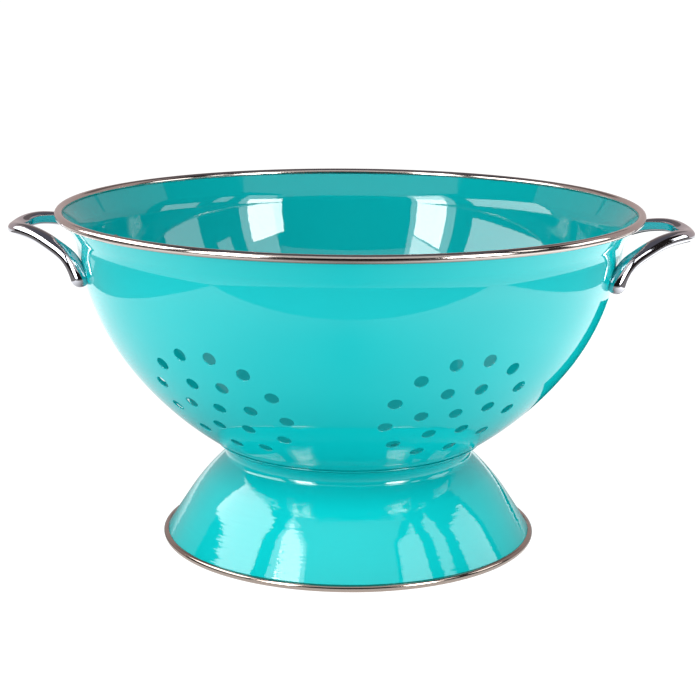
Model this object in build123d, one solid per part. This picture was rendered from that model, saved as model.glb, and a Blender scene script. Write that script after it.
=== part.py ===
from build123d import *

import os
from math import asin, copysign, cos, degrees, radians, sin, sqrt

# Lengths are in millimetres and angles in degrees. The colander stands on the XY plane, handles along X.
right_angle = 90
half_turn = 180
full_turn = 360

# Bowl: a spun steel shell, its outer surface drawn as tangent arcs from the middle of the base to the lip
bowl_wall = 0.8
base_flat_radius = 37.7
base_bend_radius = 20.0
base_bend_angle = 23.9
lower_arc_radius = 165.7
lower_arc_angle = 29.9
side_arc_radius = 118.6
side_arc_angle = 30.0
neck_radius = 14.0
neck_angle = 26.0
lip_length = 12.3

# Drain holes: seven equal clusters, six round the side and one in the base, each hole punched square to
# the wall at the middle of its cluster
hole_diameter = 6.6
hole_ring_radii = (17.1, 32.8)
hole_ring_counts = (6, 12)
hole_ring_pitch_shares = (0.0, 0.5)
side_cluster_count = 6
side_cluster_arc_share = 0.91
cluster_turn = -1.6
cluster_spin = 2.1

# Foot: a spun ring, a straight skirt under a dome and a waist, its top edge turned out to carry the bowl
foot_wall = 0.8
foot_skirt_length = 21.0
foot_skirt_angle = 57.0
foot_dome_radius = 108.0
foot_dome_angle = 15.5
foot_waist_radius = 4.5
foot_seat_arc_share = 0.227
foot_seat_width = 4.5

# Rim bands: strip rolled to a round bead that grips the edge of the sheet in its slot
rim_band_radius = 2.05
rim_band_strip = 0.45
rim_band_hang = 0.7
rim_band_grip = 0.85
foot_band_radius = 1.75
foot_band_strip = 0.45
foot_band_hang = 0.15
foot_band_grip = 0.9
foot_band_tread = 0.15

# Handles: cast loops, each end a ball pressed on the wall. The shares run from a ball to the tip: how far
# out, how far from the middle plane, how far up, how wide and how tall the bar is, and how round. Its
# outline, half of it given, is an oval with a flatter side towards the bowl
handle_arc_share = 0.808
handle_half_spacing = 44.4
handle_reach = 38.9
handle_rise = 19.2
handle_bar_width = 7.8
handle_bar_height = 6.5
handle_ball_radius = 4.6
handle_ball_stand = 2.5
handle_ball_angles = (76, 56, 36, 16)
handle_leg_direction = (0.36, 0.12, 0.92)
handle_reach_shares = (0.0, 0.08, 0.15, 0.26, 0.42, 0.58, 0.72, 0.85, 0.95, 1.0)
handle_spread_shares = (1.0, 0.964, 0.92, 0.842, 0.728, 0.613, 0.515, 0.405, 0.26, 0.0)
handle_rise_shares = (0.0, 0.30, 0.46, 0.60, 0.755, 0.88, 0.945, 0.968, 0.942, 0.9)
handle_width_shares = (1.18, 1.08, 1.04, 1.0, 1.0, 1.0, 1.0, 1.0, 1.0, 1.0)
handle_height_shares = (1.415, 1.2, 1.12, 1.06, 1.03, 1.0, 1.0, 1.0, 1.0, 1.0)
handle_round_shares = (1.0, 0.8, 0.5, 0.2, 0.0, 0.0, 0.0, 0.0, 0.0, 0.0)
handle_outline_shares = ((-1.0, 0.0), (-0.72, 0.72), (-0.1, 1.0), (0.62, 0.88), (0.96, 0.5), (1.0, 0.0))

# Rivets: a domed head inside the bowl and a shank through the wall into the boss
rivet_head_radius = 5.5
rivet_head_edge = 0.5
rivet_head_dome = 1.7
rivet_shank_radius = 2.2
rivet_depth = 5.0
rivet_end_gap = 0.3

# Clearances between pieces, and how far a cutting tool runs past what it cuts
seat_clearance = 0.1
slot_clearance = 0.25
bore_clearance = 0.05
overrun = 2.0


# Sections are drawn as (radius, height) points, and a direction is counted from the radius towards Z


def moved(point, direction, distance):
    """The point at a distance from another one in a section."""
    angle = radians(direction)
    return (point[0] + distance * cos(angle), point[1] + distance * sin(angle))


def spun(point, azimuth):
    """A section's point, or a direction, as a vector in space at an azimuth about Z."""
    angle = radians(azimuth)
    return (point[0] * cos(angle), point[0] * sin(angle), point[1])


def trace(start, heading, steps, side=0):
    """Edges, end and last heading of a chain of runs and tangent arcs, moved to its own left by side.

    A step is (length, 0) for a straight run, or (radius, turn) for an arc, turning left if positive.
    """
    edges = []
    point = moved(start, heading + right_angle, side)
    for size, turn in steps:
        if turn == 0:
            end = moved(point, heading, size)
            edges.append(Line(spun(point, 0), spun(end, 0)))
        else:
            radius = size - copysign(side, side * turn)
            inward = heading + copysign(right_angle, turn)
            centre = moved(point, inward, radius)
            middle = moved(centre, inward + half_turn + turn / 2, radius)
            end = moved(centre, inward + half_turn + turn, radius)
            edges.append(ThreePointArc(spun(point, 0), spun(middle, 0), spun(end, 0)))
        heading += turn
        point = end
    return edges, point, heading


def station(start, heading, steps, arc, share):
    """Point and heading at a share of the turn of one arc of a chain."""
    radius, turn = arc
    edges, point, slope = trace(start, heading, steps[: steps.index(arc)] + [(radius, turn * share)])
    return point, slope


def turned(outline):
    """Solid of a closed outline in the XZ plane, turned about Z."""
    return revolve(make_face(outline), Axis.Z)


def turned_sheet(start, heading, steps, wall):
    """Shell between a chain and its copy one wall to the left."""
    near, near_end, slope = trace(start, heading, steps)
    far, far_end, slope = trace(start, heading, steps, wall)
    far_start = moved(start, heading + right_angle, wall)
    first_edge = Line(spun(start, 0), spun(far_start, 0))
    last_edge = Line(spun(near_end, 0), spun(far_end, 0))
    return turned(near + far + [first_edge, last_edge])


def turned_core(start, heading, steps, side):
    """Everything between the axis and a chain that starts on it."""
    edges, end, slope = trace(start, heading, steps, side)
    base = moved(start, heading + right_angle, side)
    top = (0, end[1])
    return turned(edges + [Line(spun(end, 0), spun(top, 0)), Line(spun(top, 0), spun(base, 0))])


def wall_plane(point, slope, azimuth):
    """Plane on the outside of a turned wall, with Z out of the wall and X level."""
    outward = moved((0, 0), slope - right_angle, 1)
    level = spun((1, 0), azimuth + right_angle)
    return Plane(spun(point, azimuth), x_dir=level, z_dir=spun(outward, azimuth))


def bead_centre(edge_middle, towards, outside, grip, hang):
    """Centre of a rim band's bead, from the middle of the sheet's edge."""
    return moved(moved(edge_middle, towards, -grip), outside, hang)


def bead_section(centre, radius, strip, edge_middle, towards, wall):
    """Rolled strip with the slot that lets the sheet's edge in."""
    slot_length = radius + radius + overrun
    slot_middle = moved(edge_middle, towards, seat_clearance - slot_length / 2)
    slot = Pos(*slot_middle) * Rot(0, 0, towards) * Rectangle(slot_length, wall + slot_clearance * 2)
    return Pos(*centre) * Circle(radius) - Pos(*centre) * Circle(radius - strip) - slot


# Chains of the bowl and of the foot

lower_arc = (lower_arc_radius, lower_arc_angle)
side_arc = (side_arc_radius, side_arc_angle)
bowl_steps = [
    (base_flat_radius, 0),
    (base_bend_radius, base_bend_angle),
    lower_arc,
    side_arc,
    (neck_radius, -neck_angle),
    (lip_length, 0),
]

foot_heading = half_turn - foot_skirt_angle
seat_point, seat_slope = station((0, 0), 0, bowl_steps, lower_arc, foot_seat_arc_share)
seat_radius = lower_arc_radius + seat_clearance + foot_wall
foot_rise_steps = [
    (foot_skirt_length, 0),
    (foot_dome_radius, foot_dome_angle),
    (foot_waist_radius, seat_slope - foot_heading - foot_dome_angle),
]
foot_steps = foot_rise_steps + [(seat_radius, degrees(foot_seat_width / seat_radius))]

# Stack of the pieces on the floor: the foot's bead, the foot, then the bowl in its seat

edges, foot_rise, slope = trace((0, 0), foot_heading, foot_rise_steps)
foot_edge_middle = moved((0, 0), foot_heading + right_angle, foot_wall / 2)
foot_towards = foot_heading + half_turn
foot_outside = foot_heading - right_angle
foot_bead = bead_centre(foot_edge_middle, foot_towards, foot_outside, foot_band_grip, foot_band_hang)
foot_height = foot_band_radius - foot_band_tread - foot_bead[1]

under_seat = moved(seat_point, seat_slope - right_angle, seat_clearance + foot_wall)
foot_start = (under_seat[0] - foot_rise[0], foot_height)
bowl_start = (0, foot_height + foot_rise[1] - under_seat[1])

# Bowl, with its drain holes and the holes for the rivets

bowl = turned_sheet(bowl_start, 0, bowl_steps, bowl_wall)

widest_ring = max(hole_ring_radii)
punch_length = widest_ring**2 / side_arc_radius * 2 + (bowl_wall + overrun) * 2
punch = Cylinder(hole_diameter / 2, punch_length)

cluster = [punch]
for ring_radius, count, pitch_share in zip(hole_ring_radii, hole_ring_counts, hole_ring_pitch_shares):
    first_angle = full_turn / count * pitch_share + cluster_spin
    cluster += [place * punch for place in PolarLocations(ring_radius, count, first_angle)]

cluster_point, cluster_slope = station(bowl_start, 0, bowl_steps, lower_arc, side_cluster_arc_share)
cluster_planes = [wall_plane(bowl_start, 0, cluster_turn)]
for index in range(side_cluster_count):
    azimuth = cluster_turn + full_turn / side_cluster_count * index
    cluster_planes.append(wall_plane(cluster_point, cluster_slope, azimuth))

boss_point, boss_slope = station(bowl_start, 0, bowl_steps, side_arc, handle_arc_share)
boss_azimuth = degrees(asin(handle_half_spacing / boss_point[0]))
boss_planes = []
for side_azimuth in (0, half_turn):
    for turn in (-boss_azimuth, boss_azimuth):
        boss_planes.append(wall_plane(boss_point, boss_slope, side_azimuth + turn))

rivet_punch = Cylinder(rivet_shank_radius + bore_clearance, (bowl_wall + overrun) * 2)
punches = [plane * tool for plane in cluster_planes for tool in cluster]
punches += [plane * rivet_punch for plane in boss_planes]
bowl = bowl - punches

# Rim band of the bowl

edges, lip_edge, lip_heading = trace(bowl_start, 0, bowl_steps)
lip_middle = moved(lip_edge, lip_heading + right_angle, bowl_wall / 2)
rim_bead = bead_centre(lip_middle, lip_heading, lip_heading - right_angle, rim_band_grip, rim_band_hang)
rim_section = bead_section(rim_bead, rim_band_radius, rim_band_strip, lip_middle, lip_heading, bowl_wall)
bowl_rim_band = revolve(Plane.XZ * rim_section, Axis.Z)

# Foot and its rim band, pressed flat where it stands

foot = turned_sheet(foot_start, foot_heading, foot_steps, foot_wall)

foot_bead = (foot_start[0] + foot_bead[0], foot_start[1] + foot_bead[1])
foot_edge = (foot_start[0] + foot_edge_middle[0], foot_start[1] + foot_edge_middle[1])
foot_section = bead_section(foot_bead, foot_band_radius, foot_band_strip, foot_edge, foot_towards, foot_wall)
floor = Pos(foot_bead[0], -foot_band_radius) * Rectangle(foot_band_radius * 2, foot_band_radius * 2)
foot_rim_band = revolve(Plane.XZ * (foot_section - floor), Axis.Z)


# Handles, trimmed to the curve of the wall and bored for the rivets

ball_middle = (boss_planes[0] * Pos(0, 0, handle_ball_stand)).position
leg_direction = Vector(*handle_leg_direction).normalized()


def handle_stations():
    """Centre, width, height and roundness of the bar's sections, from one end to the other."""
    half = []
    for angle in handle_ball_angles:
        centre = ball_middle - leg_direction * handle_ball_radius * sin(radians(angle))
        across = handle_ball_radius * cos(radians(angle)) * 2
        half.append((centre.X, centre.Y, centre.Z, across, across, 1))
    for out, aside, up, wide, tall, evenness in zip(
        handle_reach_shares,
        handle_spread_shares,
        handle_rise_shares,
        handle_width_shares,
        handle_height_shares,
        handle_round_shares,
    ):
        x = ball_middle.X + handle_reach * out
        y = ball_middle.Y * aside
        z = ball_middle.Z + handle_rise * up
        half.append((x, y, z, handle_bar_width * wide, handle_bar_height * tall, evenness))
    return half + [(x, -y, *rest) for x, y, *rest in reversed(half[:-1])]


def bar_section(spine, x, y, z, wide, tall, evenness):
    """Section of the bar, square to its line, between the oval and an even round."""
    along = spine.tangent_at((x, y, z))
    plane = Plane((x, y, z), x_dir=Vector(0, 0, 1).cross(along), z_dir=along)
    upper = []
    for across, high in handle_outline_shares:
        scale = 1 - evenness + evenness / sqrt(across**2 + high**2)
        upper.append((wide / 2 * across * scale, tall / 2 * high * scale))
    lower = [(across, -high) for across, high in reversed(upper[1:-1])]
    return plane * make_face(Spline(upper + lower, periodic=True))


stations = handle_stations()
last_direction = (-leg_direction.X, leg_direction.Y, -leg_direction.Z)
spine = Spline([row[:3] for row in stations], tangents=[leg_direction, last_direction])
loop = loft([bar_section(spine, *row) for row in stations])
boss_depth = rivet_depth + rivet_end_gap
boss_bore = Cylinder(
    rivet_shank_radius + bore_clearance,
    boss_depth + overrun,
    align=(Align.CENTER, Align.CENTER, Align.MIN),
)
right_handle = loop - turned_core(bowl_start, 0, bowl_steps, -seat_clearance)
right_handle = right_handle - [plane * Pos(0, 0, -overrun) * boss_bore for plane in boss_planes[:2]]
left_handle = Rot(0, 0, half_turn) * right_handle

# Rivets, their heads flat on the inside of the wall, which curves away under them

tightest_curve = min(side_arc_radius, boss_point[0]) - bowl_wall
head_sagitta = tightest_curve - sqrt(tightest_curve**2 - rivet_head_radius**2)
head_face = -bowl_wall - head_sagitta - seat_clearance
head_rim = head_face - rivet_head_edge
head_top = head_rim - rivet_head_dome
dome_curve = (rivet_head_radius**2 + rivet_head_dome**2) / (rivet_head_dome * 2)
dome_angle = degrees(asin(rivet_head_radius / dome_curve))
dome_middle = moved((0, head_top + dome_curve), dome_angle / 2 - right_angle, dome_curve)
rivet_outline = [
    ThreePointArc(spun((0, head_top), 0), spun(dome_middle, 0), spun((rivet_head_radius, head_rim), 0)),
    Polyline(
        spun((rivet_head_radius, head_rim), 0),
        spun((rivet_head_radius, head_face), 0),
        spun((rivet_shank_radius, head_face), 0),
        spun((rivet_shank_radius, rivet_depth), 0),
        spun((0, rivet_depth), 0),
        spun((0, head_top), 0),
    ),
]
rivet = turned(rivet_outline)
handle_rivets = Compound(children=[plane * rivet for plane in boss_planes])

# Each piece in a file of its own, named after it

pieces = {
    "bowl": bowl,
    "bowl_rim_band": bowl_rim_band,
    "foot": foot,
    "foot_rim_band": foot_rim_band,
    "right_handle": right_handle,
    "left_handle": left_handle,
    "handle_rivets": handle_rivets,
}
os.makedirs("parts", exist_ok=True)
for name, piece in pieces.items():
    export_step(piece, f"parts/{name}.step")
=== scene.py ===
from math import cos, degrees, pi, radians, sin, sqrt

import bpy
import numpy as np
from mathutils import Matrix, Vector
from mathutils.geometry import delaunay_2d_cdt


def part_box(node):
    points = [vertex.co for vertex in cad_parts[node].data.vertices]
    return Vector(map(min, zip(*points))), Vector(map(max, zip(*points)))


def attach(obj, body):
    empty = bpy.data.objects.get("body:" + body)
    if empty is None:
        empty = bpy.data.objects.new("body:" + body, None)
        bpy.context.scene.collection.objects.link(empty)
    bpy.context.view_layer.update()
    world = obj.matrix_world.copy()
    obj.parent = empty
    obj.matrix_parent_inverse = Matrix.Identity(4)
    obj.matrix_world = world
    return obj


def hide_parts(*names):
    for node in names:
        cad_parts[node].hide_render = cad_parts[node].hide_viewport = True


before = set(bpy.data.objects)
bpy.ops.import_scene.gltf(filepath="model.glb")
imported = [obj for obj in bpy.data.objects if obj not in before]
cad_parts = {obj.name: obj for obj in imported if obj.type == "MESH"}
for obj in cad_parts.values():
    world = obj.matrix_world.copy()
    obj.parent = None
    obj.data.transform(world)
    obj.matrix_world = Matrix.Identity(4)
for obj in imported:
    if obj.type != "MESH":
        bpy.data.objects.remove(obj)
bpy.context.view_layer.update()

# Lengths of the colander are in millimetres until a mesh is made, those of the studio in metres
mm = 0.001


# Bowl: one steel blank spun over a form to a round bowl with a turned out lip, then punched with seven
# clusters of drain holes. It is 0.8 mm thick and powder coated inside and out, so every edge is rounded.

bowl_wall = 0.8
bowl_faces = ((0.0, False), (bowl_wall, True))
bowl_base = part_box("bowl")[0].z / mm

# The wall from the middle of the base to the lip: length of a run or radius of an arc, and its turn
bowl_steps = [(37.7, 0.0), (20.0, 23.9), (165.7, 29.9), (118.6, 30.0), (14.0, -26.0), (12.3, 0.0)]
chain_step = 0.1

# Drain holes of a cluster: one in the middle and two rings, each with its radius, count and first angle
hole_radius = 3.3
hole_round = 0.28
hole_rings = ((17.1, 6, 0.0), (32.8, 12, 15.0))

# Clusters round the side: their place as a share of the lower arc of the wall, the turn of the whole pattern
# about the bowl, and the spin of each cluster about its middle
cluster_count, cluster_share = 6, 0.91
cluster_turn, cluster_spin = -1.6, 2.1
hole_places = [(0.0, 0.0)]
for ring_radius, ring_count, first_angle in hole_rings:
    for index in range(ring_count):
        angle = radians(cluster_spin + first_angle + 360.0 / ring_count * index)
        hole_places.append((ring_radius * cos(angle), ring_radius * sin(angle)))

# Fineness of the mesh: points and rings of a hole, columns round the bowl, and distances between its rows
hole_points, round_rings, columns = 36, 5, 240
row_spacing, bend_spacing, lip_spacing, base_spacing = 2.6, 0.8, 1.6, 3.0

# Room for the holes: half the height of the zone that holds a cluster, and the least distance of other points
# from the edge of the base and from the middle of a hole, in the side and in the base
cluster_reach, base_margin = 41.0, 1.2
side_clear = hole_radius + hole_round + 0.8
base_clear = side_clear - 0.3

# Search for the wall along a punch: its range and steps, the start of the wall past the base, how upright a
# punch is that meets the base instead, and the distance at which two points are one
search_low, search_high, search_steps = -24.0, 12.0, 44
corner_skip = 5.0
upright_limit = 0.999
same_point = 1e-7


class Profile:
    """A chain of runs and tangent arcs in a plane of radius and height."""

    def __init__(self, start, heading, steps):
        x, z = start
        rows = [(0.0, x, z, heading)]
        for size, turn in steps:
            length = size if turn == 0 else abs(radians(turn)) * size
            pieces = max(2, int(length / chain_step))
            along, h = rows[-1][0], rows[-1][3]
            x, z = rows[-1][1:3]
            for step in range(1, pieces + 1):
                part = step / pieces
                turned = h + turn * part
                if turn == 0:
                    px = x + size * part * cos(radians(h))
                    pz = z + size * part * sin(radians(h))
                else:
                    side = 1.0 if turn > 0 else -1.0
                    px = x + side * size * (sin(radians(turned)) - sin(radians(h)))
                    pz = z - side * size * (cos(radians(turned)) - cos(radians(h)))
                rows.append((along + length * part, px, pz, turned))
        self.s, self.r, self.z, self.h = np.array(rows).T
        self.marks = np.cumsum([0.0] + [a if t == 0 else abs(radians(t)) * a for a, t in steps])

    def at(self, s, side=0.0):
        """Radius, height and heading in radians, at a distance along the chain, moved to its left."""
        h = np.radians(np.interp(s, self.s, self.h))
        r = np.interp(s, self.s, self.r) - side * np.sin(h)
        z = np.interp(s, self.s, self.z) + side * np.cos(h)
        return r, z, h


class Skin:
    """Points, their normals and faces, gathered into one smooth mesh."""

    def __init__(self):
        self.points, self.normals, self.faces, self.count = [], [], [], 0

    def add(self, points, normals):
        """Adds points with their normals and returns their numbers, in the same shape."""
        points = np.asarray(points, float)
        shape = points.shape[:-1]
        flat = points.reshape(-1, 3)
        self.points.append(flat)
        self.normals.append(np.broadcast_to(normals, points.shape).reshape(-1, 3))
        numbers = np.arange(self.count, self.count + len(flat)).reshape(shape)
        self.count += len(flat)
        return numbers

    def strip(self, grid, closed=True, flip=False):
        """Joins the rows of a grid of point numbers by four-sided faces."""
        last = np.roll(grid, -1, axis=1) if closed else grid[:, 1:]
        first = grid if closed else grid[:, :-1]
        quads = np.stack([first[:-1], last[:-1], last[1:], first[1:]], -1).reshape(-1, 4)
        self.faces += (quads[:, ::-1] if flip else quads).tolist()

    def piece(self, name, material, body="root"):
        """Makes the Blender object, which rides on a CAD body."""
        points = np.concatenate(self.points) * mm
        normals = np.concatenate(self.normals)
        mesh = bpy.data.meshes.new(name)
        mesh.from_pydata(points.tolist(), [], self.faces)
        mesh.shade_smooth()
        mesh.normals_split_custom_set_from_vertices(normals.tolist())
        mesh.materials.append(material)
        made = bpy.data.objects.new(name, mesh)
        bpy.context.scene.collection.objects.link(made)
        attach(made, body)
        return made


def ring_vectors(azimuths, radial, upward):
    """Vectors round Z from a radial and an upward part, one row for each pair."""
    radial, upward = np.atleast_1d(radial)[:, None], np.atleast_1d(upward)[:, None]
    across = np.cos(azimuths) * radial, np.sin(azimuths) * radial
    return np.stack([*across, np.broadcast_to(upward, across[0].shape)], -1)


def turned_rows(profile, distances, azimuths, side=0.0, inside=False):
    """Points and outward normals of a turned surface."""
    r, z, h = profile.at(distances, side)
    sign = -1.0 if inside else 1.0
    return ring_vectors(azimuths, r, z), ring_vectors(azimuths, sign * np.sin(h), -sign * np.cos(h))


bowl_profile = Profile((0.0, bowl_base), 0.0, bowl_steps)
base_end, corner_end, lower_end, upper_end, bend_end, bowl_end = bowl_profile.marks[1:]
wall_distances = bowl_profile.s[bowl_profile.s > base_end + corner_skip]
column_azimuths = np.radians(cluster_turn - 180.0 / cluster_count) + np.arange(columns) * 2 * pi / columns
column_step = 2 * pi / columns
sector = columns // cluster_count
sector_middle = sector // 2

cluster_distance = corner_end + (lower_end - corner_end) * cluster_share
cluster_arc = float(bowl_profile.at(cluster_distance)[0]) * 2 * pi / columns
zone_low, zone_high = cluster_distance - cluster_reach, cluster_distance + cluster_reach


def spread(low, high, spacing):
    """Distances from low to high in even steps near a spacing."""
    return np.linspace(low, high, max(1, round((high - low) / spacing)) + 1)


def hole_axes(distance, azimuth):
    """Middle, level, upward and outward directions where a cluster is punched."""
    r, z, h = bowl_profile.at(distance)
    middle = np.array([r * cos(azimuth), r * sin(azimuth), z])
    level = np.array([-sin(azimuth), cos(azimuth), 0.0])
    outward = np.array([sin(h) * cos(azimuth), sin(h) * sin(azimuth), -cos(h)])
    return middle, level, np.cross(outward, level), outward


def punched(axes, u, v, side):
    """Points where lines square to a cluster's plane meet the wall, and how far along the chain they lie."""
    middle, level, upward, outward = axes
    start = middle + u[..., None] * level + v[..., None] * upward
    if abs(outward[2]) > upright_limit:
        points = start - side * outward
        return points, np.hypot(points[..., 0], points[..., 1])
    radii, heights, _ = bowl_profile.at(wall_distances, side)
    low, high = np.full(u.shape, search_low), np.full(u.shape, search_high)
    for _ in range(search_steps):
        half = (low + high) / 2
        points = start + half[..., None] * outward
        outside = np.hypot(points[..., 0], points[..., 1]) > np.interp(points[..., 2], heights, radii)
        high, low = np.where(outside, half, high), np.where(outside, low, half)
    return points, np.interp(points[..., 2], heights, wall_distances)


def wall_normals(points, distances, inside):
    """Normals of the wall at points on it."""
    h = bowl_profile.at(distances)[2]
    azimuths = np.arctan2(points[..., 1], points[..., 0])
    normals = np.stack([np.sin(h) * np.cos(azimuths), np.sin(h) * np.sin(azimuths), -np.cos(h)], -1)
    return -normals if inside else normals


def punch_rings(axes, place):
    """Rings of points and normals round one hole, from the outer face to the inner one."""
    angles = np.arange(hole_points) * 2 * pi / hole_points
    rings, normals, loops = [], [], []
    for side, inside in bowl_faces:
        set_of_rings = []
        for share in np.linspace(0.0, 1.0, round_rings):
            lean = share * pi / 2
            radius = hole_radius + hole_round * (1 - sin(lean))
            u, v = place[0] + radius * np.cos(angles), place[1] + radius * np.sin(angles)
            points, distances = punched(axes, u, v, side)
            face = wall_normals(points, distances, inside)
            inward = -(np.cos(angles)[:, None] * axes[1] + np.sin(angles)[:, None] * axes[2])
            depth = hole_round * (1 - cos(lean)) * (1.0 if inside else -1.0)
            normal = cos(lean) * face + sin(lean) * inward
            normal /= np.linalg.norm(normal, axis=1)[:, None]
            set_of_rings.append((points + depth * axes[3], normal))
            if share == 0.0:
                loops.append((points, distances))
        rings += set_of_rings[::-1] if inside else set_of_rings
    return np.array([row[0] for row in rings]), np.array([row[1] for row in rings]), loops


def fill(flat, loops_flat):
    """Triangles over flat points and loops, as numbers of those points then of the loops' points."""
    coords = [Vector(row) for row in flat]
    edges, owner = [], [-1] * len(flat)
    for number, loop in enumerate(loops_flat):
        first = len(coords)
        coords += [Vector(row) for row in loop]
        owner += [number] * len(loop)
        edges += [(first + i, first + (i + 1) % len(loop)) for i in range(len(loop))]
    _, _, triangles, sources, _, _ = delaunay_2d_cdt(coords, edges, [], 0, same_point)
    source = [numbers[0] for numbers in sources]
    faces = []
    for triangle in triangles:
        numbers = [source[corner] for corner in triangle]
        owners = {owner[number] for number in numbers}
        if len(owners) > 1 or -1 in owners:
            faces.append(numbers)
    return faces


bowl_skin = Skin()
zone_rows = spread(zone_low, zone_high, row_spacing)
lower_rows = spread(base_end, zone_low, row_spacing)
upper_rows = np.concatenate([
    spread(zone_high, upper_end, row_spacing),
    spread(upper_end, bend_end, bend_spacing)[1:],
    spread(bend_end, bowl_end, lip_spacing)[1:],
])
all_rows = np.concatenate([lower_rows, zone_rows[1:-1], upper_rows])
zone_first = len(lower_rows) - 1
zone_last = zone_first + len(zone_rows) - 1

# Holes of one cluster of the side, in its first sector, and of the cluster in the base
side_axes = hole_axes(cluster_distance, column_azimuths[sector_middle])
side_rings = [punch_rings(side_axes, place) for place in hole_places]
base_axes = hole_axes(0.0, radians(cluster_turn))
base_rings = [punch_rings(base_axes, place) for place in hole_places]

hole_numbers = []
for cluster in range(cluster_count):
    swing = 2 * pi / cluster_count * cluster
    turn = np.array([[cos(swing), sin(swing), 0], [-sin(swing), cos(swing), 0], [0, 0, 1]])
    hole_numbers.append([bowl_skin.add(points @ turn, normals @ turn) for points, normals, _ in side_rings])
base_numbers = [bowl_skin.add(points, normals) for points, normals, _ in base_rings]
for numbers in base_numbers + [row for group in hole_numbers for row in group]:
    bowl_skin.strip(numbers)

edge_rows = []
for layer, (side, inside) in enumerate(bowl_faces):
    points, normals = turned_rows(bowl_profile, all_rows, column_azimuths, side, inside)
    grid = bowl_skin.add(points, normals)
    bowl_skin.strip(grid[: zone_first + 1], flip=inside)
    bowl_skin.strip(grid[zone_last:], flip=inside)
    edge_rows.append(grid[-1])

    # Wall round one cluster, used again for the others
    local = points[zone_first : zone_last + 1, : sector + 1] - side_axes[0]
    across, along = local @ side_axes[1], local @ side_axes[2]
    keep = np.ones(across.shape, bool)
    for u, v in hole_places:
        keep &= np.hypot(across - u, along - v) > side_clear
    rows, places = np.nonzero(keep)
    flat = [((place - sector_middle) * cluster_arc, zone_rows[row]) for row, place in zip(rows, places)]
    loops_flat = []
    for _, _, loops in side_rings:
        loop_points, loop_distances = loops[layer]
        angle = np.arctan2(loop_points[:, 1], loop_points[:, 0]) - column_azimuths[sector_middle]
        loops_flat.append(list(zip(angle / column_step * cluster_arc, loop_distances)))
    faces = fill(flat, loops_flat)
    loop_row = -1 if inside else 0
    for cluster in range(cluster_count):
        wall_numbers = grid[zone_first + rows, (places + cluster * sector) % columns]
        loop_numbers = [numbers[loop_row] for numbers in hole_numbers[cluster]]
        numbers = np.concatenate([wall_numbers, *loop_numbers])
        made = numbers[np.array(faces)]
        bowl_skin.faces += (made[:, ::-1] if inside else made).tolist()

    # Flat of the base
    rim = points[0]
    spots = [(0.0, 0.0)]
    for radius in spread(base_spacing, float(base_end) - base_margin, base_spacing):
        count = int(radius * 2 * pi / base_spacing)
        spots += [(radius * cos(2 * pi * i / count), radius * sin(2 * pi * i / count)) for i in range(count)]
    spots = np.array(spots)
    keep = np.ones(len(spots), bool)
    loops_flat = []
    for _, _, loops in base_rings:
        middle = loops[layer][0].mean(axis=0)
        keep &= np.hypot(spots[:, 0] - middle[0], spots[:, 1] - middle[1]) > base_clear
        loops_flat.append(loops[layer][0][:, :2].tolist())
    spots = spots[keep]
    floor_points = np.column_stack([spots, np.full(len(spots), bowl_base + side)])
    spot_numbers = bowl_skin.add(floor_points, (0.0, 0.0, 1.0 if inside else -1.0))
    faces = fill(rim[:, :2].tolist() + spots.tolist(), loops_flat)
    numbers = np.concatenate([grid[0], spot_numbers, *[row[loop_row] for row in base_numbers]])
    made = numbers[np.array(faces)]
    bowl_skin.faces += (made if inside else made[:, ::-1]).tolist()

bowl_skin.strip(np.array(edge_rows))


def linear(colour):
    """Linear colour of an sRGB hex value."""
    parts = [int(colour[i : i + 2], 16) / 255 for i in (1, 3, 5)]
    return [p / 12.92 if p <= 0.04045 else ((p + 0.055) / 1.055) ** 2.4 for p in parts] + [1.0]


def add_node(material, kind, values=None, links=None, **settings):
    """Adds a node with its settings, its sockets' values and its links."""
    node = material.node_tree.nodes.new(kind)
    for name, value in settings.items():
        setattr(node, name, value)
    for socket, value in (values or {}).items():
        node.inputs[socket].default_value = value
    for socket, source in (links or {}).items():
        material.node_tree.links.new(source, node.inputs[socket])
    return node


def new_material(name):
    """An empty node material and its output."""
    material = bpy.data.materials.new(name)
    material.use_nodes = True
    material.node_tree.nodes.clear()
    return material, add_node(material, "ShaderNodeOutputMaterial")


# Gloss powder coat, baked polyester on steel: a hard clear gloss over an even turquoise, with a shallow
# orange peel. The ridges of the spinning roller show only low on the foot and are drawn coarser than real
# ones, which are too fine to show. Low on the foot the coat is also mixed lighter, which is painted light
# for the light that falls on the foot, matched to the light of the photo.
coat_colour, coat_deep, foot_painted_light = "#08C3C6", "#05BBC0", "#0CDEE0"
cloud_size = 60.0
peel_size, peel_height = 3.0, 0.006
ridge_pitch, ridge_length, ridge_height = 2.4, 26.0, 0.09
ridge_and_painted_light_top, ridge_and_painted_light_fade = 46.0, 14.0

powder_coat, coat_output = new_material("gloss_powder_coat")
coat_place = add_node(powder_coat, "ShaderNodeTexCoord")
cloud = add_node(
    powder_coat,
    "ShaderNodeTexNoise",
    {"Scale": 1 / (cloud_size * mm), "Detail": 2.0, "Roughness": 0.5},
    {"Vector": coat_place.outputs["Object"]},
)
cloud_colour = add_node(
    powder_coat,
    "ShaderNodeMix",
    {"A": linear(coat_deep), "B": linear(coat_colour)},
    {"Factor": cloud.outputs["Fac"]},
    data_type="RGBA",
)
peel = add_node(
    powder_coat,
    "ShaderNodeTexNoise",
    {"Scale": 1 / (peel_size * mm), "Detail": 1.5, "Roughness": 0.5},
    {"Vector": coat_place.outputs["Object"]},
)
peel_bump = add_node(
    powder_coat,
    "ShaderNodeBump",
    {"Strength": 1.0, "Distance": peel_height * mm},
    {"Height": peel.outputs["Fac"]},
)
ridge_place = add_node(
    powder_coat,
    "ShaderNodeVectorMath",
    {1: (1 / (ridge_length * mm), 1 / (ridge_length * mm), 1 / (ridge_pitch * mm))},
    {0: coat_place.outputs["Object"]},
    operation="MULTIPLY",
)
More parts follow.
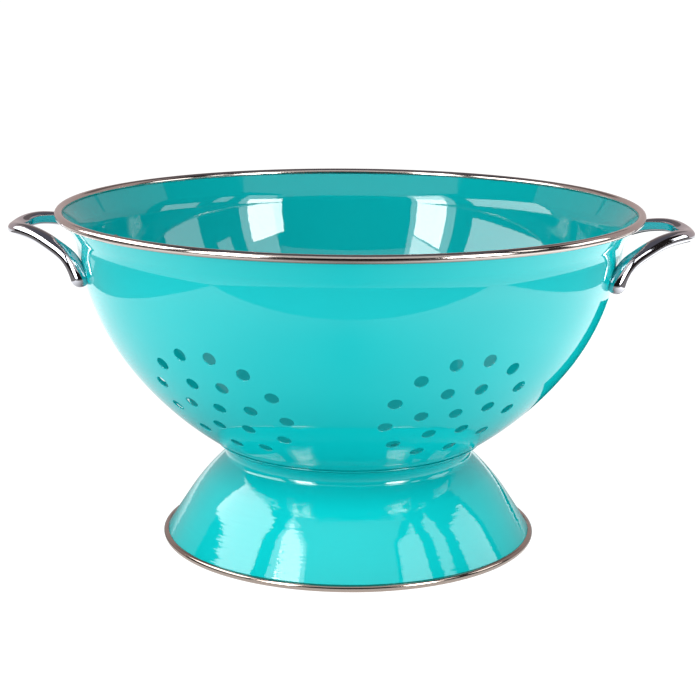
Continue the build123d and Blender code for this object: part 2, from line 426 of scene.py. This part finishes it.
ridges = add_node(
    powder_coat,
    "ShaderNodeTexNoise",
    {"Scale": 1.0, "Detail": 2.0, "Roughness": 0.6},
    {"Vector": ridge_place.outputs[0]},
)
coat_parts = add_node(powder_coat, "ShaderNodeSeparateXYZ", None, {0: coat_place.outputs["Object"]})
# One share, by height, for the real ridges and for the painted light low on the foot
ridges_and_painted_light = add_node(
    powder_coat,
    "ShaderNodeMapRange",
    {"From Min": ridge_and_painted_light_top * mm, "From Max": (ridge_and_painted_light_top - ridge_and_painted_light_fade) * mm},
    {"Value": coat_parts.outputs["Z"]},
)
# Painted light: the coat is mixed to a lighter turquoise low on the foot
tone_with_painted_light = add_node(
    powder_coat,
    "ShaderNodeMix",
    {"B": linear(foot_painted_light)},
    {"Factor": ridges_and_painted_light.outputs["Result"], "A": cloud_colour.outputs["Result"]},
    data_type="RGBA",
)
coat_bump = add_node(
    powder_coat,
    "ShaderNodeBump",
    {"Distance": ridge_height * mm},
    {
        "Strength": ridges_and_painted_light.outputs["Result"],
        "Height": ridges.outputs["Fac"],
        "Normal": peel_bump.outputs["Normal"],
    },
)
coat_shader = add_node(
    powder_coat,
    "ShaderNodeBsdfPrincipled",
    {
        "Roughness": 0.35,
        "IOR": 1.5,
        "Specular IOR Level": 0.0,
        "Coat Weight": 1.0,
        "Coat Roughness": 0.03,
        "Coat IOR": 1.5,
    },
    {
        "Base Color": tone_with_painted_light.outputs["Result"],
        "Normal": coat_bump.outputs["Normal"],
        "Coat Normal": coat_bump.outputs["Normal"],
    },
)
powder_coat.node_tree.links.new(coat_shader.outputs["BSDF"], coat_output.inputs["Surface"])

bowl = bowl_skin.piece("bowl_punched", powder_coat)
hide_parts("bowl")


# Foot: a spun ring of the same sheet and coat, a straight skirt under a dome and a waist, its top edge
# turned out and spot welded under the bowl before both are coated.

foot_wall = 0.8
half_wall = foot_wall / 2
foot_radius, foot_lift, foot_heading = 93.44, 0.436, 123.0

# Skirt, dome, waist and seat. The seat follows the bowl from a share of the lower arc of its wall
skirt_length, dome_radius, dome_turn, waist_radius = 21.0, 108.0, 15.5, 4.5
seat_share, seat_radius, seat_width = 0.227, 166.6, 4.5
seat_slope = bowl_steps[1][1] + bowl_steps[2][1] * seat_share
foot_start = (foot_radius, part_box("foot")[0].z / mm + foot_lift)
foot_steps = [
    (skirt_length, 0.0),
    (dome_radius, dome_turn),
    (waist_radius, seat_slope - foot_heading - dome_turn),
    (seat_radius, degrees(seat_width / seat_radius)),
]
foot_spacings = (2.2, 1.6, 0.6, 1.2)
edge_rings = 9

foot_profile = Profile(foot_start, foot_heading, foot_steps)
foot_marks = foot_profile.marks
foot_edge = foot_marks[4] - half_wall
foot_parts = [[0.0]]
for low, high, spacing in zip(foot_marks, foot_marks[1:], foot_spacings):
    foot_parts.append(spread(low, high, spacing)[1:])
foot_rows = np.concatenate(foot_parts)
foot_rows = foot_rows[foot_rows < foot_edge]
foot_skin = Skin()
outer = foot_skin.add(*turned_rows(foot_profile, foot_rows, column_azimuths))
inner = foot_skin.add(*turned_rows(foot_profile, foot_rows, column_azimuths, foot_wall, True))
foot_skin.strip(outer)
foot_skin.strip(inner, flip=True)
foot_skin.strip(np.array([inner[0], outer[0]]))

# Top edge of the foot, rounded by the coat
edge_r, edge_z, edge_h = foot_profile.at(foot_edge, half_wall)
lean = edge_h - pi / 2 + np.linspace(0.0, pi, edge_rings)
edge_points = ring_vectors(
    column_azimuths, edge_r + half_wall * np.cos(lean), edge_z + half_wall * np.sin(lean)
)
foot_skin.strip(foot_skin.add(edge_points, ring_vectors(column_azimuths, np.cos(lean), np.sin(lean))))
foot = foot_skin.piece("foot_spun", powder_coat)
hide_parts("foot")


# Rim bands: strips of thin stainless steel rolled into a bead round the edge of the bowl and of the foot,
# and crimped there. They stay bare, with the lines of the rolls running round them. Real lines are too fine
# to show, so they are drawn much coarser.

# The foot band is drawn darker and browner than the bowl band, though it is the same stainless: painted shade
# for the shaded paper it mirrors near the foot
band_colours = {"bowl_rim_band": "#C4BAB4", "foot_rim_band": "#A3958C"}
line_width, line_height = 0.35, 0.004
stain_size = 18.0


def stainless(name, colour):
    """Rolled stainless steel: dull mirror, warm grey, with fine lines round the ring."""
    material, output = new_material(name)
    place = add_node(material, "ShaderNodeTexCoord")
    parts = add_node(material, "ShaderNodeSeparateXYZ", None, {0: place.outputs["Object"]})
    flat = add_node(
        material,
        "ShaderNodeVectorMath",
        {1: (1.0, 1.0, 0.0)},
        {0: place.outputs["Object"]},
        operation="MULTIPLY",
    )
    radius = add_node(material, "ShaderNodeVectorMath", None, {0: flat.outputs[0]}, operation="LENGTH")
    ring = add_node(
        material, "ShaderNodeCombineXYZ", None, {0: radius.outputs["Value"], 1: parts.outputs["Z"]}
    )
    lines = add_node(
        material,
        "ShaderNodeTexNoise",
        {"Scale": 1 / (line_width * mm), "Detail": 2.0, "Roughness": 0.6},
        {"Vector": ring.outputs[0]},
    )
    stains = add_node(
        material,
        "ShaderNodeTexNoise",
        {"Scale": 1 / (stain_size * mm), "Detail": 3.0, "Roughness": 0.6},
        {"Vector": place.outputs["Object"]},
    )
    rough = add_node(
        material, "ShaderNodeMapRange", {"To Min": 0.07, "To Max": 0.17}, {"Value": stains.outputs["Fac"]}
    )
    bump = add_node(
        material,
        "ShaderNodeBump",
        {"Strength": 1.0, "Distance": line_height * mm},
        {"Height": lines.outputs["Fac"]},
    )
    shader = add_node(
        material,
        "ShaderNodeBsdfPrincipled",
        {"Base Color": linear(colour), "Metallic": 1.0},
        {"Roughness": rough.outputs["Result"], "Normal": bump.outputs["Normal"]},
    )
    material.node_tree.links.new(shader.outputs["BSDF"], output.inputs["Surface"])
    return material


for name, colour in band_colours.items():
    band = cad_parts[name]
    band.data.materials.clear()
    band.data.materials.append(stainless("rolled_stainless_" + name, colour))


# Handles: two loops cast in zinc, polished and chrome plated, an oval bar whose ends swell into balls that
# are pressed against the wall. The right one is swept here and the left one is the same piece turned round.

# Balls: place along the upper arc of the wall, half their spacing, radius, stand off the wall and gap to it
handle_arc_share, handle_half_spacing = 0.808, 44.4
ball_radius, ball_stand, ball_clear = 4.6, 2.5, 0.1

# Loop between them: reach and rise, and width and height of its bar
handle_reach, handle_rise = 38.9, 19.2
handle_wide, handle_tall = 7.8, 6.5

# Stations of the bar from a ball to the middle, all as shares: reach outwards, distance aside, rise, width
# and height of the section, and how round it is
handle_bar = [
    (0.0, 1.0, 0.0, 1.18, 1.415, 1.0),
    (0.08, 0.964, 0.30, 1.08, 1.2, 0.8),
    (0.15, 0.92, 0.46, 1.04, 1.12, 0.5),
    (0.26, 0.842, 0.60, 1.0, 1.06, 0.2),
    (0.42, 0.728, 0.755, 1.0, 1.03, 0.0),
    (0.58, 0.613, 0.88, 1.0, 1.0, 0.0),
    (0.72, 0.515, 0.945, 1.0, 1.0, 0.0),
    (0.85, 0.405, 0.968, 1.0, 1.0, 0.0),
    (0.95, 0.26, 0.942, 1.0, 1.0, 0.0),
    (1.0, 0.0, 0.9, 1.0, 1.0, 0.0),
]

# Upper half of the oval section, from its inner side to its outer one
handle_outline = [(-1.0, 0.0), (-0.72, 0.72), (-0.1, 1.0), (0.62, 0.88), (0.96, 0.5), (1.0, 0.0)]
handle_around, handle_along = 56, 190
ball_angles = (76, 56, 36, 16)
ball_first, ball_last, ball_rings = 88.0, 4.0, 18

boss_r, boss_z, boss_h = bowl_profile.at(lower_end + (upper_end - lower_end) * handle_arc_share)
boss_turn = -np.arcsin(handle_half_spacing / boss_r)
ball_r, ball_z = boss_r + ball_stand * sin(boss_h), boss_z - ball_stand * cos(boss_h)
ball_middle = np.array([ball_r * cos(boss_turn), ball_r * sin(boss_turn), ball_z])
leg_lean = (0.36, 0.12, 0.92)
leg_way = np.array(leg_lean) / np.linalg.norm(leg_lean)


def smooth(knots, values, where):
    """Values between knots along a natural cubic spline."""
    gaps = np.diff(knots)
    system, right = np.eye(len(knots)), np.zeros((len(knots), values.shape[1]))
    slopes = np.diff(values, axis=0) / gaps[:, None]
    for i in range(1, len(knots) - 1):
        system[i, i - 1 : i + 2] = gaps[i - 1], 2 * (gaps[i - 1] + gaps[i]), gaps[i]
        right[i] = 6 * (slopes[i] - slopes[i - 1])
    bends = np.linalg.solve(system, right)
    i = np.clip(np.searchsorted(knots, where) - 1, 0, len(gaps) - 1)
    a, b, gap = (knots[i + 1] - where)[:, None], (where - knots[i])[:, None], gaps[i][:, None]
    curved = (a**3 * bends[i] + b**3 * bends[i + 1]) / (6 * gap)
    straight = (values[i] / gap - bends[i] * gap / 6) * a
    return curved + straight + (values[i + 1] / gap - bends[i + 1] * gap / 6) * b


def handle_section(wide, tall, evenness):
    """Points round a section of the bar, between the oval and an even round."""
    upper = []
    for a, b in handle_outline:
        share = 1 - evenness + evenness / sqrt(a * a + b * b)
        upper.append((a * share, b * share))
    ring = np.array(upper + [(a, -b) for a, b in reversed(upper[1:-1])]) * (wide / 2, tall / 2)
    path = np.concatenate([ring, ring, ring, ring[:1]])
    knots = np.concatenate([[0.0], np.cumsum(np.hypot(*np.diff(path, axis=0).T))])
    first, last = knots[len(ring)], knots[2 * len(ring)]
    return smooth(knots, path, first + (last - first) * np.arange(handle_around) / handle_around)


leg_rows = [ball_middle - leg_way * ball_radius * sin(radians(angle)) for angle in ball_angles]
bar_rows = [
    (ball_middle[0] + handle_reach * out, ball_middle[1] * aside, ball_middle[2] + handle_rise * up)
    for out, aside, up, *shape in handle_bar
]
half = np.array([*leg_rows, *bar_rows])
spine_rows = np.concatenate([half, half[-2::-1] * (1, -1, 1)])
spine_knots = np.concatenate([[0.0], np.cumsum(np.linalg.norm(np.diff(spine_rows, axis=0), axis=1))])
shape_rows = np.array([shape for out, aside, up, *shape in handle_bar])
shape_rows = np.concatenate([shape_rows, shape_rows[-2::-1]]) * (handle_wide, handle_tall, 1.0)
bar_knots = spine_knots[len(leg_rows) : -len(leg_rows)]
stops = bar_knots[0] + (bar_knots[-1] - bar_knots[0]) * np.linspace(0.0, 1.0, handle_along)
spine = smooth(spine_knots, spine_rows, stops)
shapes = smooth(bar_knots, shape_rows, stops)
ways = np.gradient(spine, stops, axis=0)
ways[0], ways[-1] = leg_way, leg_way * (-1, 1, -1)
ways /= np.linalg.norm(ways, axis=1)[:, None]

rings = []
ball_shares = np.radians(np.linspace(ball_first, ball_last, ball_rings))
for share in ball_shares:
    size = 2 * ball_radius * cos(share)
    rings.append((ball_middle - leg_way * ball_radius * sin(share), leg_way, size, size, 1.0))
rings += [
    (middle, way, wide, tall, min(1.0, max(0.0, even)))
    for middle, way, (wide, tall, even) in zip(spine, ways, shapes)
]
for middle, way, *shape in rings[len(ball_shares) - 1 :: -1]:
    rings.append((middle * (1, -1, 1), way * (-1, 1, -1), *shape))
handle_grid = []
for middle, way, wide, tall, even in rings:
    across = np.cross((0.0, 0.0, 1.0), way)
    across /= np.linalg.norm(across)
    section = handle_section(wide, tall, even)
    handle_grid.append(middle + section[:, :1] * across + section[:, 1:] * np.cross(way, across))
handle_grid = np.array(handle_grid)
around = np.roll(handle_grid, -1, 1) - np.roll(handle_grid, 1, 1)
handle_normals = np.cross(np.gradient(handle_grid, axis=0), around)
handle_normals /= np.linalg.norm(handle_normals, axis=2)[:, :, None]
centres = np.array([ring[0] for ring in rings])[:, None]
if ((handle_grid - centres) * handle_normals).sum() < 0:
    handle_normals = -handle_normals

# Flats of the balls against the wall, and the bar kept within its CAD box
wall_radii, wall_heights, _ = bowl_profile.at(wall_distances, -ball_clear)
wall_here = np.interp(handle_grid[..., 2], wall_heights, wall_radii)
reach = np.hypot(handle_grid[..., 0], handle_grid[..., 1])
handle_grid[..., :2] *= np.maximum(1.0, wall_here / reach)[..., None]
handle_low, handle_high = (np.array(corner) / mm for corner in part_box("right_handle"))
handle_grid = np.clip(handle_grid, handle_low, handle_high)

# Chrome plate on a polished casting: a near black and white mirror, a little wavy, with soft wipe marks
wave_size, wave_height, wipe_size = 5.0, 0.03, 2.0
chrome, chrome_output = new_material("chrome_plate")
chrome_place = add_node(chrome, "ShaderNodeTexCoord")
casting = add_node(
    chrome,
    "ShaderNodeTexNoise",
    {"Scale": 1 / (wave_size * mm), "Detail": 1.0, "Roughness": 0.4},
    {"Vector": chrome_place.outputs["Object"]},
)
wipes = add_node(
    chrome,
    "ShaderNodeTexNoise",
    {"Scale": 1 / (wipe_size * mm), "Detail": 4.0, "Roughness": 0.65},
    {"Vector": chrome_place.outputs["Object"]},
)
wipe_rough = add_node(
    chrome, "ShaderNodeMapRange", {"To Min": 0.03, "To Max": 0.09}, {"Value": wipes.outputs["Fac"]}
)
casting_bump = add_node(
    chrome,
    "ShaderNodeBump",
    {"Strength": 1.0, "Distance": wave_height * mm},
    {"Height": casting.outputs["Fac"]},
)
chrome_shader = add_node(
    chrome,
    "ShaderNodeBsdfPrincipled",
    {"Base Color": linear("#C1C2C9"), "Metallic": 1.0},
    {"Roughness": wipe_rough.outputs["Result"], "Normal": casting_bump.outputs["Normal"]},
)
chrome.node_tree.links.new(chrome_shader.outputs["BSDF"], chrome_output.inputs["Surface"])

for name, turn in (("right_handle", 1.0), ("left_handle", -1.0)):
    handle_skin = Skin()
    swing = np.array((turn, turn, 1.0))
    numbers = handle_skin.add(handle_grid * swing, handle_normals * swing)
    tips = [
        handle_skin.add((ball_middle - leg_way * ball_radius) * mirror * swing, -leg_way * mirror * swing)
        for mirror in (np.array((1, 1, 1)), np.array((1, -1, 1)))
    ]
    handle_skin.strip(numbers, flip=True)
    for tip, ring, flip in ((tips[0], numbers[0], True), (tips[1], numbers[-1], False)):
        for here, after in zip(ring.tolist(), np.roll(ring, -1).tolist()):
            handle_skin.faces.append([int(tip), after, here] if flip else [int(tip), here, after])
    handle = handle_skin.piece(name + "_cast", chrome)
    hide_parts(name)


# Rivets: four steel rivets with low domed heads inside the bowl, driven through the wall into the balls of
# the handles. Their bare steel is duller than the chrome and dimpled a little by the hammer that set them.

dimple_size, dimple_height = 1.2, 0.01
rivet_steel, rivet_output = new_material("rivet_steel")
rivet_place = add_node(rivet_steel, "ShaderNodeTexCoord")
hammering = add_node(
    rivet_steel,
    "ShaderNodeTexNoise",
    {"Scale": 1 / (dimple_size * mm), "Detail": 3.0, "Roughness": 0.6},
    {"Vector": rivet_place.outputs["Object"]},
)
rivet_rough = add_node(
    rivet_steel, "ShaderNodeMapRange", {"To Min": 0.16, "To Max": 0.3}, {"Value": hammering.outputs["Fac"]}
)
rivet_bump = add_node(
    rivet_steel,
    "ShaderNodeBump",
    {"Strength": 1.0, "Distance": dimple_height * mm},
    {"Height": hammering.outputs["Fac"]},
)
rivet_shader = add_node(
    rivet_steel,
    "ShaderNodeBsdfPrincipled",
    {"Base Color": linear("#B7B2AE"), "Metallic": 1.0},
    {"Roughness": rivet_rough.outputs["Result"], "Normal": rivet_bump.outputs["Normal"]},
)
rivet_steel.node_tree.links.new(rivet_shader.outputs["BSDF"], rivet_output.inputs["Surface"])
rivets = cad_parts["handle_rivets"]
rivets.data.materials.clear()
rivets.data.materials.append(rivet_steel)


# Studio: white paper in a room of boards and soft windows, which only mirror-like surfaces see and which
# stand where the reflections in the photo put them. Soft lamps light the colours and show in no reflection.
# All of it is turned with the camera.

camera_turn = radians(1.65)
studio = bpy.data.worlds.new("studio")
bpy.context.scene.world = studio
studio.use_nodes = True
studio.node_tree.nodes.clear()
world_output = add_node(studio, "ShaderNodeOutputWorld")


def plainly_seen(owner):
    """One for camera, glossy and transmission rays, zero for those that light things."""
    path = add_node(owner, "ShaderNodeLightPath").outputs
    seen = path["Is Camera Ray"]
    for kind in ("Is Glossy Ray", "Is Transmission Ray"):
        either = add_node(owner, "ShaderNodeMath", None, {0: seen, 1: path[kind]}, operation="MAXIMUM")
        seen = either.outputs[0]
    return seen


# A sky that is plain white to the camera and in reflections. Matt surfaces get less light from its top than
# from its sides, which keeps the drain holes dark.
white = linear("#FFFFFF")
sky_low, sky_high = radians(28.0), radians(52.0)
sky_side_light, sky_top_light = 0.42, 0.23
sky_place = add_node(studio, "ShaderNodeTexCoord")
sky_way = add_node(studio, "ShaderNodeSeparateXYZ", None, {0: sky_place.outputs["Generated"]})
sky_level = add_node(
    studio,
    "ShaderNodeMapRange",
    {"From Min": sin(sky_low), "From Max": sin(sky_high), "To Min": sky_side_light, "To Max": sky_top_light},
    {"Value": sky_way.outputs["Z"]},
)
level = add_node(
    studio,
    "ShaderNodeMapRange",
    {"To Max": 1.0},
    {"Value": plainly_seen(studio), "To Min": sky_level.outputs[0]},
)
world_light = add_node(studio, "ShaderNodeBackground", {"Color": white}, {"Strength": level.outputs[0]})
studio.node_tree.links.new(world_light.outputs[0], world_output.inputs["Surface"])

# White paper under the colander: white to the camera and in reflections, with the shadow of the colander
paper_glow_strength, paper_lit_share, paper_seen_share = 1.36, 0.5, 0.72
paper, paper_output = new_material("white_paper")
paper_shade = add_node(paper, "ShaderNodeBsdfDiffuse", {"Color": linear("#F4F4F4")})
paper_glow = add_node(paper, "ShaderNodeEmission", {"Color": white, "Strength": paper_glow_strength})
paper_share = add_node(
    paper,
    "ShaderNodeMapRange",
    {"To Min": paper_lit_share, "To Max": paper_seen_share},
    {"Value": plainly_seen(paper)},
)
paper_mix = add_node(
    paper,
    "ShaderNodeMixShader",
    None,
    {0: paper_share.outputs[0], 1: paper_shade.outputs[0], 2: paper_glow.outputs[0]},
)
paper.node_tree.links.new(paper_mix.outputs[0], paper_output.inputs["Surface"])


def glowing(name, colour):
    """A material of even light, for what is only seen in reflections."""
    material, output = new_material(name)
    light = add_node(material, "ShaderNodeEmission", {"Color": linear(colour), "Strength": 1.0})
    material.node_tree.links.new(light.outputs[0], output.inputs["Surface"])
    return material


dark_floor = glowing("dark_floor", "#9A9694")
far_floor = glowing("far_floor", "#2A2726")
dark_room = glowing("dark_room", "#1E1B1A")
side_wall = glowing("dim_side_wall", "#262120")
back_wall = glowing("warm_back_wall", "#C6B6B5")
upper_wall = glowing("upper_back_wall", "#7A706F")
front_ceiling = glowing("pale_ceiling", "#F0ECEA")
grey_ceiling = glowing("grey_ceiling", "#65636C")
dark_green = glowing("dark_green", "#0E3A34")

# The same paper as the gloss of the colander sees it, with the shade round the foot drawn in. Matt surfaces
# get more light from it, in place of the bounce between paper and coat. From below it is clear.
bounce_gain, bounce_light = 1.5, 0.14
shaded_paper, shaded_output = new_material("shaded_paper")
matt = add_node(shaded_paper, "ShaderNodeLightPath").outputs["Is Diffuse Ray"]
bounce = add_node(shaded_paper, "ShaderNodeMapRange", {"To Min": 1.0, "To Max": bounce_gain}, {"Value": matt})
near_light = add_node(
    shaded_paper, "ShaderNodeMapRange", {"To Min": 0.0, "To Max": bounce_light}, {"Value": matt}
)
sheet_shade = add_node(shaded_paper, "ShaderNodeAttribute", attribute_name="light")
sheet_strength = add_node(
    shaded_paper,
    "ShaderNodeMath",
    None,
    {0: sheet_shade.outputs["Fac"], 1: bounce.outputs["Result"], 2: near_light.outputs["Result"]},
    operation="MULTIPLY_ADD",
)
shaded_light = add_node(
    shaded_paper, "ShaderNodeEmission", {"Color": white}, {"Strength": sheet_strength.outputs[0]}
)
shaded_mix = add_node(
    shaded_paper,
    "ShaderNodeMixShader",
    None,
    {
        0: add_node(shaded_paper, "ShaderNodeNewGeometry").outputs["Backfacing"],
        1: shaded_light.outputs[0],
        2: add_node(shaded_paper, "ShaderNodeBsdfTransparent").outputs[0],
    },
)
shaded_paper.node_tree.links.new(shaded_mix.outputs[0], shaded_output.inputs["Surface"])


def board(name, material, corners, reflected_only=True):
    """A flat part of the studio, from its corners in metres."""
    mesh = bpy.data.meshes.new(name)
    mesh.from_pydata(corners, [], [tuple(range(len(corners)))])
    mesh.materials.append(material)
    made = bpy.data.objects.new(name, mesh)
    made.matrix_world = Matrix.Rotation(camera_turn, 4, "Z")
    bpy.context.scene.collection.objects.link(made)
    if reflected_only:
        made.visible_camera = made.visible_diffuse = made.visible_shadow = False


def upright(name, material, start, end, low, high):
    """A board that stands over a line of the floor."""
    board(name, material, [(*start, low), (*end, low), (*end, high), (*start, high)])


def window(name, start, end, low, high, radiance):
    """A soft box over a line of the floor, lit on the side towards the colander, for the reflections."""
    start, end = Vector((*start, 0.0)), Vector((*end, 0.0))
    middle = (start + end) / 2 + Vector((0.0, 0.0, (low + high) / 2))
    wide, tall = (end - start).length, high - low
    along = (end - start).normalized()
    back = along.cross(Vector((0.0, 0.0, 1.0)))
    if back.dot(middle) < 0:
        along, back = -along, -back
    lamp = bpy.data.lights.new(name, "AREA")
    lamp.shape = "RECTANGLE"
    lamp.size, lamp.size_y = wide, tall
    lamp.energy = radiance * pi * wide * tall
    holder = bpy.data.objects.new(name, lamp)
    turn = Matrix((along, Vector((0.0, 0.0, 1.0)), back)).transposed().to_4x4()
    holder.matrix_world = Matrix.Rotation(camera_turn, 4, "Z") @ Matrix.Translation(middle) @ turn
    holder.visible_camera = holder.visible_diffuse = False
    bpy.context.scene.collection.objects.link(holder)


# Soft lamps: distance from the colander, width, and the height at which they are aimed
lamp_distance, lamp_size, lamp_aim = 1.5, 0.9, 0.09


def soft_lamp(name, azimuth, height, radiance):
    """A wide lamp that lights the set, aimed at the colander from an azimuth right of the camera."""
    lamp = bpy.data.lights.new(name, "AREA")
    lamp.shape = "DISK"
    lamp.size = lamp_size
    lamp.energy = radiance * pi * pi * lamp_size * lamp_size / 4
    holder = bpy.data.objects.new(name, lamp)
    way = Vector((sin(azimuth) * cos(height), -cos(azimuth) * cos(height), sin(height)))
    turn = way.to_track_quat("Z", "Y").to_matrix().to_4x4()
    middle = Matrix.Translation(way * lamp_distance + Vector((0.0, 0.0, lamp_aim)))
    holder.matrix_world = Matrix.Rotation(camera_turn, 4, "Z") @ middle @ turn
    holder.visible_camera = holder.visible_glossy = False
    bpy.context.scene.collection.objects.link(holder)


def paper_light(x, y):
    """Light of the paper round the colander, whose shade is deepest at the foot, by distance and side."""
    reach = (0.05, 0.08, 0.11, 0.155, 0.21, 0.25, 0.30, 0.35, 0.42, 0.60)
    front = (0.0, 0.04, 0.17, 0.34, 0.36, 0.42, 0.66, 0.9, 1.0, 1.0)
    side = (0.1, 0.2, 0.35, 0.75, 1.1, 1.35, 1.5, 1.65, 1.9, 2.0)
    right_gain, left_gain, side_spread = 1.15, 0.88, 1.1
    distance = sqrt(x * x + y * y)
    sideways = min(1.0, abs(x) / max(distance, mm) * side_spread)
    gain = right_gain if x > 0 else left_gain
    ahead = np.interp(distance, reach, front) * (1 - sideways)
    return float(ahead + np.interp(distance, reach, side) * sideways * gain)


# Floor of white paper, and just above it the sheet that reflections see, a grid that carries its own light
far = 30.0
far_corners = (-far, -far), (far, -far), (far, far), (-far, far)
board("paper_floor", paper, [(*corner, 0.0) for corner in far_corners], reflected_only=False)
paper_left, paper_right, paper_front, paper_back = -0.38, 0.43, -0.315, 0.60
sheet_columns, sheet_rows = 55, 61
lift = 0.002

xs = np.linspace(paper_left, paper_right, sheet_columns)
ys = np.linspace(paper_front, paper_back, sheet_rows)
sheet = bpy.data.meshes.new("paper_sheet")
sheet_points = [(x, y, lift) for y in ys for x in xs]
sheet_faces = [
    (corner, corner + 1, corner + sheet_columns + 1, corner + sheet_columns)
    for row in range(sheet_rows - 1)
    for corner in range(row * sheet_columns, (row + 1) * sheet_columns - 1)
]
sheet.from_pydata(sheet_points, [], sheet_faces)
sheet_light = sheet.attributes.new("light", "FLOAT", "POINT")
sheet_light.data.foreach_set("value", [paper_light(x, y) for x, y, z in sheet_points])
sheet.materials.append(shaded_paper)
seen_sheet = bpy.data.objects.new("paper_sheet", sheet)
seen_sheet.matrix_world = Matrix.Rotation(camera_turn, 4, "Z")
seen_sheet.visible_camera = seen_sheet.visible_shadow = False
bpy.context.scene.collection.objects.link(seen_sheet)

# Walls of the room, dark in front and at the sides, and warm and pale behind the colander
room_side, room_front, room_back, room_end, room_top = 0.95, -1.3, 0.33, 1.3, 1.5
front_shade, end_shade, ceiling_edge = 0.95, 0.75, -0.40
left_front, right_front = (-room_side, room_front), (room_side, room_front)
left_back, right_back = (-room_side, room_back), (room_side, room_back)
left_end, right_end = (-room_side, room_end), (room_side, room_end)
upright("room_front", dark_room, left_front, right_front, 0.0, front_shade)
upright("room_front_top", front_ceiling, left_front, right_front, front_shade, room_top)
upright("room_left", side_wall, left_front, left_back, 0.0, room_top)
upright("room_right", side_wall, right_front, right_back, 0.0, room_top)
upright("room_left_back", back_wall, left_back, left_end, 0.0, room_top)
upright("room_right_back", back_wall, right_back, right_end, 0.0, room_top)
upright("room_end", back_wall, left_end, right_end, 0.0, end_shade)
upright("room_end_top", upper_wall, left_end, right_end, end_shade, room_top)


def floor_board(name, material, left, right, front, back, height=lift):
    """A level board between two sides, a front and a back."""
    edges = (left, front), (right, front), (right, back), (left, back)
    board(name, material, [(*corner, height) for corner in edges])


# Dark floor round the paper, and a ceiling that is pale in front and grey behind
floor_left, floor_right, floor_edge = -0.62, 0.66, -0.62
floor_board("floor_left", dark_floor, floor_left, paper_left, floor_edge, room_back)
floor_board("floor_right", dark_floor, paper_right, floor_right, floor_edge, room_back)
floor_board("floor_front", dark_floor, paper_left, paper_right, floor_edge, paper_front)
floor_board("floor_far_left", dark_floor, -room_side, floor_left, room_front, room_back)
floor_board("floor_far_right", dark_floor, floor_right, room_side, room_front, room_back)
floor_board("floor_far_front", far_floor, floor_left, floor_right, room_front, floor_edge)
floor_board("ceiling_front", front_ceiling, -room_side, room_side, room_front, ceiling_edge, room_top)
floor_board("ceiling_back", grey_ceiling, -room_side, room_side, ceiling_edge, room_end, room_top)

# A dark green card on the paper, behind on the right, for the dark streaks in the reflections there
card_height = 0.003
card_corners = (0.165, 0.06), (0.34, 0.245), (0.30, 0.40), (0.10, 0.22)
board("dark_card", dark_green, [(*corner, card_height) for corner in card_corners])

# Lamps for the colours: azimuth from the camera, height as an angle, and radiance
soft_lamp("top_lamp", radians(-4.0), radians(50.0), 3.5)
soft_lamp("front_lamp", radians(-6.0), radians(21.0), 0.8)
soft_lamp("left_lamp", radians(-50.0), radians(19.0), 2.1)
soft_lamp("right_lamp", radians(46.0), radians(19.0), 0.5)

# Windows and cards for the reflections: two ends on the floor, lower and upper height, and radiance
window("left_window", (-0.50, -0.36), (-0.46, -0.80), 0.12, 0.80, 3.6)
window("left_window_top", (-0.49, -0.40), (-0.46, -0.72), 0.50, 0.72, 8.0)
window("left_window_core", (-0.485, -0.42), (-0.455, -0.70), 0.20, 0.48, 18.0)
window("right_window", (0.63, -0.42), (0.56, -0.72), 0.12, 0.80, 3.6)
window("right_window_core", (0.60, -0.47), (0.51, -0.76), 0.20, 0.48, 18.0)
window("left_board", (-0.55, -0.27), (-0.55, 0.22), 0.24, 0.60, 6.0)
window("right_board", (0.62, -0.30), (0.62, -0.19), 0.38, 0.68, 3.0)
window("right_card", (0.62, -0.10), (0.62, 0.14), 0.16, 0.42, 3.2)

# Camera, fitted to the outlines of the photo: focal length and width of the picture in its pixels
sensor_width, focal_pixels, photo_pixels = 36.0, 1793.0, 700.0
camera_height, camera_roll, camera_distance = radians(13.0), radians(0.40), 0.905
camera_target = Vector((0.32, 0.0, 94.3)) * mm
camera_data = bpy.data.cameras.new("camera")
camera_data.sensor_width = sensor_width
camera_data.lens = sensor_width * focal_pixels / photo_pixels
camera = bpy.data.objects.new("camera", camera_data)
bpy.context.scene.collection.objects.link(camera)
bpy.context.scene.camera = camera
axes = Matrix.Rotation(camera_turn, 4, "Z") @ Matrix.Rotation(pi / 2 - camera_height, 4, "X")
away = Matrix.Translation((0.0, 0.0, camera_distance))
roll = Matrix.Rotation(camera_roll, 4, "Z")
camera.matrix_world = Matrix.Translation(camera_target) @ axes @ away @ roll

bpy.context.scene.view_settings.view_transform = "Standard"
